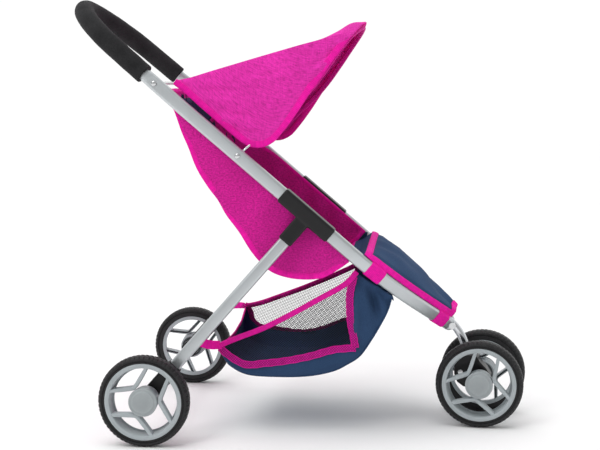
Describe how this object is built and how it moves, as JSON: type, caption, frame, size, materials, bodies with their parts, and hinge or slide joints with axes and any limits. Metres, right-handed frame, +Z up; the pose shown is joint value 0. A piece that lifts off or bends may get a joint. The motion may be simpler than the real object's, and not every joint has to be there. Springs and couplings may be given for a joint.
{
  "type": "doll stroller",
  "caption": "Three-station doll jogger stroller with foam loop handle, silver tube frame, swivelling twin front caster, fabric sling seat, pull-back sun canopy, foot apron and mesh basket.",
  "frame": {"origin": "on the floor under the middle of the object's overall box", "axes": "+X forwards, the way the stroller rolls, +Y to its left, +Z up"},
  "size_m": [0.6358, 0.3806, 0.5873],
  "materials": {
    "foam_black": "matt fine-celled foam sleeve",
    "tube_silver": "satin silver lacquer on flat oval tube",
    "moulded_black": "satin injection-moulded plastic",
    "steel_bright": "bright zinc and nickel plate",
    "tyre_black": "matt moulded tread with side grooves",
    "rim_grey": "satin grey moulded plastic",
    "cap_grey": "satin grey moulded plastic",
    "fabric_pink": "melange woven polyester, pink",
    "fabric_navy": "plain woven polyester, navy, with net side panels on the basket",
    "binding_pink": "bright pink woven binding tape"
  },
  "bodies": {
    "frame": {"apron_wrap_front_left": "binding_pink", "apron_wrap_front_right": "binding_pink", "apron_wrap_rear_left": "binding_pink", "apron_wrap_rear_right": "binding_pink", "axle_foot_left": "moulded_black", "axle_foot_right": "moulded_black", "basket": "fabric_navy", "basket_strap_left": "binding_pink", "basket_strap_right": "binding_pink", "canopy_fabric": "fabric_pink", "canopy_rivet_left": "steel_bright", "canopy_rivet_right": "steel_bright", "caster_pipe": "steel_bright", "connector_left": "moulded_black", "connector_right": "moulded_black", "foot_apron": "fabric_navy", "frame_tube_left": "tube_silver", "frame_tube_right": "tube_silver", "handle_cross_rod": "steel_bright", "handle_grip": "foam_black", "handle_rivet_left": "steel_bright", "handle_rivet_right": "steel_bright", "handle_tube": "tube_silver", "nose_bolt": "steel_bright", "nose_nut": "steel_bright", "rear_axle": "steel_bright", "rear_leg_left": "tube_silver", "rear_leg_right": "tube_silver", "seat_back_pad": "fabric_navy", "seat_base_pad": "fabric_navy", "seat_bucket": "fabric_pink"},
    "caster": {"caster_housing": "moulded_black", "housing_rivet": "steel_bright", "front_axle": "steel_bright"},
    "canopy_hoop": {"canopy_bow": "steel_bright"},
    "rear_right_wheel": {"rear_right_tyre": "tyre_black", "rear_right_rim": "rim_grey", "rear_right_hub_cap": "cap_grey"},
    "rear_left_wheel": {"rear_left_tyre": "tyre_black", "rear_left_rim": "rim_grey", "rear_left_hub_cap": "cap_grey"},
    "front_right_wheel": {"front_right_tyre": "tyre_black", "front_right_rim": "rim_grey", "front_right_hub_cap": "cap_grey"},
    "front_left_wheel": {"front_left_tyre": "tyre_black", "front_left_rim": "rim_grey", "front_left_hub_cap": "cap_grey"}
  },
  "joints": [
    {"name": "canopy_fold", "type": "hinge", "parent": "frame", "child": "canopy_hoop", "pos_m": [-0.073, 0, 0.377], "axis": [0, -1, 0], "range_deg": [0, 70], "deforming": ["canopy_fabric"]},
    {"name": "caster_swivel", "type": "hinge", "parent": "frame", "child": "caster", "pos_m": [0.234, 0, 0.1], "axis": [0, 0, 1], "continuous": true},
    {"name": "rear_right_spin", "type": "hinge", "parent": "frame", "child": "rear_right_wheel", "pos_m": [-0.19, -0.1773, 0.06], "axis": [0, 1, 0], "continuous": true},
    {"name": "rear_left_spin", "type": "hinge", "parent": "frame", "child": "rear_left_wheel", "pos_m": [-0.19, 0.1773, 0.06], "axis": [0, 1, 0], "continuous": true},
    {"name": "front_right_spin", "type": "hinge", "parent": "caster", "child": "front_right_wheel", "pos_m": [0.24969, -0.04207, 0.06], "axis": [0.1045, 0.9945, 0], "continuous": true},
    {"name": "front_left_spin", "type": "hinge", "parent": "caster", "child": "front_left_wheel", "pos_m": [0.25809, 0.03789, 0.06], "axis": [0.1045, 0.9945, 0], "continuous": true}
  ]
}
